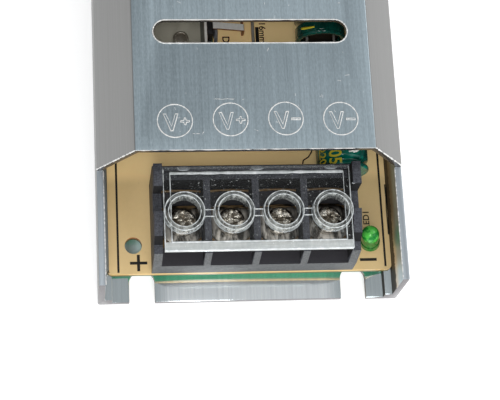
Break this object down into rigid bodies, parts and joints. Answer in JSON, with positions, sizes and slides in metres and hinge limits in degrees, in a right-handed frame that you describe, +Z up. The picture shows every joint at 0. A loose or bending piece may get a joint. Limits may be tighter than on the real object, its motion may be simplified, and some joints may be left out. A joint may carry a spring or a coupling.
{
  "type": "power supply",
  "caption": "Slim switching power supply in an extruded aluminium case with sloped shoulders, open ends with screw terminal blocks under clear hinged covers, vent slots and open fixing slots.",
  "frame": {"origin": "centre of the case's flat underside", "axes": "+X across the case, to the right seen from the output end; +Y along the case from the output end to the mains end; +Z up out of the surface that it is fixed to"},
  "size_m": [0.06, 0.19, 0.0264],
  "materials": {
    "case_aluminium": "extruded and drawn, fine lines along its length",
    "board_laminate": "tan laminate above, green lacquer below",
    "green_resin": "tinted clear resin",
    "tinned_wire": "tinned",
    "green_sleeve": "shrunk glossy sleeve",
    "black_rubber": "matt",
    "plain_aluminium": "sawn bar",
    "grey_pad": "silicone sheet",
    "black_epoxy": "moulded",
    "zinc_screw": "zinc plated",
    "dark_ferrite": "pressed and fired",
    "enamelled_copper": "enamelled wire",
    "yellow_tape": "wound polyester tape",
    "yellow_box": "moulded box",
    "brown_box": "moulded can",
    "black_dip": "dipped",
    "blue_dip": "dipped",
    "resistor_lacquer": "lacquered ceramic",
    "black_moulding": "moulded, slightly glossy",
    "nickel_brass": "tinned brass strip",
    "clear_cover": "clear moulded plastic",
    "nickel_clamp": "nickel plated, stamped",
    "nickel_screw": "nickel plated"
  },
  "bodies": {
    "chassis": {"case": "case_aluminium", "circuit_board": "board_laminate", "power_lamp": "green_resin", "lamp_legs": "tinned_wire", "front_output_capacitor": "green_sleeve", "rear_output_capacitor": "green_sleeve", "bulk_capacitor": "green_sleeve", "capacitor_seals": "black_rubber", "capacitor_leads": "tinned_wire", "rectifier_heat_block": "plain_aluminium", "rectifier_pad": "grey_pad", "rectifier_bodies": "black_epoxy", "rectifier_frames": "tinned_wire", "rectifier_clamp_plate": "plain_aluminium", "rectifier_clamp_screw": "zinc_screw", "switch_heat_block": "plain_aluminium", "switch_pad": "grey_pad", "switch_bodies": "black_epoxy", "switch_frames": "tinned_wire", "switch_clamp_plate": "plain_aluminium", "switch_clamp_screw": "zinc_screw", "output_choke_core": "dark_ferrite", "output_choke_windings": "enamelled_copper", "line_choke_core": "dark_ferrite", "line_choke_windings": "enamelled_copper", "transformer_core": "dark_ferrite", "transformer_bobbin": "black_epoxy", "transformer_coil": "yellow_tape", "line_capacitor": "yellow_box", "bridge_rectifier": "black_epoxy", "fuse": "brown_box", "thermistor": "black_dip", "disc_capacitor": "blue_dip", "control_chip": "black_epoxy", "optocoupler": "black_epoxy", "chip_legs": "tinned_wire", "power_resistors": "resistor_lacquer", "component_wires": "tinned_wire", "jumper_wire": "tinned_wire", "output_terminal_body": "black_moulding", "output_contacts": "nickel_brass", "input_terminal_body": "black_moulding", "input_contacts": "nickel_brass"},
    "output_cover": {"output_cover": "clear_cover"},
    "output_clamp_1": {"output_clamp_1": "nickel_clamp"},
    "output_screw_1": {"output_screw_1": "nickel_screw"},
    "output_clamp_2": {"output_clamp_2": "nickel_clamp"},
    "output_screw_2": {"output_screw_2": "nickel_screw"},
    "output_clamp_3": {"output_clamp_3": "nickel_clamp"},
    "output_screw_3": {"output_screw_3": "nickel_screw"},
    "output_clamp_4": {"output_clamp_4": "nickel_clamp"},
    "output_screw_4": {"output_screw_4": "nickel_screw"},
    "input_cover": {"input_cover": "clear_cover"},
    "input_clamp_1": {"input_clamp_1": "nickel_clamp"},
    "input_screw_1": {"input_screw_1": "nickel_screw"},
    "input_clamp_2": {"input_clamp_2": "nickel_clamp"},
    "input_screw_2": {"input_screw_2": "nickel_screw"},
    "input_clamp_3": {"input_clamp_3": "nickel_clamp"},
    "input_screw_3": {"input_screw_3": "nickel_screw"}
  },
  "joints": [
    {"name": "output_cover_hinge", "type": "hinge", "parent": "chassis", "child": "output_cover", "pos_m": [0.0006, -0.0746, 0.01866], "axis": [-1, 0, 0], "range_deg": [0, 80]},
    {"name": "output_clamp_1_lift", "type": "slide", "parent": "chassis", "child": "output_clamp_1", "axis": [0, 0, 1], "range_m": [0, 0.0025]},
    {"name": "output_screw_1_turn", "type": "hinge", "parent": "output_clamp_1", "child": "output_screw_1", "pos_m": [-0.01365, -0.0824, 0.01516], "axis": [0, 0, 1], "range_deg": [0, 1800]},
    {"name": "output_clamp_2_lift", "type": "slide", "parent": "chassis", "child": "output_clamp_2", "axis": [0, 0, 1], "range_m": [0, 0.0025]},
    {"name": "output_screw_2_turn", "type": "hinge", "parent": "output_clamp_2", "child": "output_screw_2", "pos_m": [-0.00415, -0.0824, 0.01516], "axis": [0, 0, 1], "range_deg": [0, 1800]},
    {"name": "output_clamp_3_lift", "type": "slide", "parent": "chassis", "child": "output_clamp_3", "axis": [0, 0, 1], "range_m": [0, 0.0025]},
    {"name": "output_screw_3_turn", "type": "hinge", "parent": "output_clamp_3", "child": "output_screw_3", "pos_m": [0.00535, -0.0824, 0.01516], "axis": [0, 0, 1], "range_deg": [0, 1800]},
    {"name": "output_clamp_4_lift", "type": "slide", "parent": "chassis", "child": "output_clamp_4", "axis": [0, 0, 1], "range_m": [0, 0.0025]},
    {"name": "output_screw_4_turn", "type": "hinge", "parent": "output_clamp_4", "child": "output_screw_4", "pos_m": [0.01485, -0.0824, 0.01516], "axis": [0, 0, 1], "range_deg": [0, 1800]},
    {"name": "input_cover_hinge", "type": "hinge", "parent": "chassis", "child": "input_cover", "pos_m": [0, 0.0746, 0.01866], "axis": [1, 0, 0], "range_deg": [0, 80]},
    {"name": "input_clamp_1_lift", "type": "slide", "parent": "chassis", "child": "input_clamp_1", "axis": [0, 0, 1], "range_m": [0, 0.0025]},
    {"name": "input_screw_1_turn", "type": "hinge", "parent": "input_clamp_1", "child": "input_screw_1", "pos_m": [0.0095, 0.0824, 0.01516], "axis": [0, 0, 1], "range_deg": [0, 1800]},
    {"name": "input_clamp_2_lift", "type": "slide", "parent": "chassis", "child": "input_clamp_2", "axis": [0, 0, 1], "range_m": [0, 0.0025]},
    {"name": "input_screw_2_turn", "type": "hinge", "parent": "input_clamp_2", "child": "input_screw_2", "pos_m": [0, 0.0824, 0.01516], "axis": [0, 0, 1], "range_deg": [0, 1800]},
    {"name": "input_clamp_3_lift", "type": "slide", "parent": "chassis", "child": "input_clamp_3", "axis": [0, 0, 1], "range_m": [0, 0.0025]},
    {"name": "input_screw_3_turn", "type": "hinge", "parent": "input_clamp_3", "child": "input_screw_3", "pos_m": [-0.0095, 0.0824, 0.01516], "axis": [0, 0, 1], "range_deg": [0, 1800]}
  ],
  "couplings": [
    {"joint": "output_screw_1_turn", "follows": "output_clamp_1_lift", "rad_per_m": 12566},
    {"joint": "output_screw_2_turn", "follows": "output_clamp_2_lift", "rad_per_m": 12566},
    {"joint": "output_screw_3_turn", "follows": "output_clamp_3_lift", "rad_per_m": 12566},
    {"joint": "output_screw_4_turn", "follows": "output_clamp_4_lift", "rad_per_m": 12566},
    {"joint": "input_screw_1_turn", "follows": "input_clamp_1_lift", "rad_per_m": 12566},
    {"joint": "input_screw_2_turn", "follows": "input_clamp_2_lift", "rad_per_m": 12566},
    {"joint": "input_screw_3_turn", "follows": "input_clamp_3_lift", "rad_per_m": 12566}
  ]
}
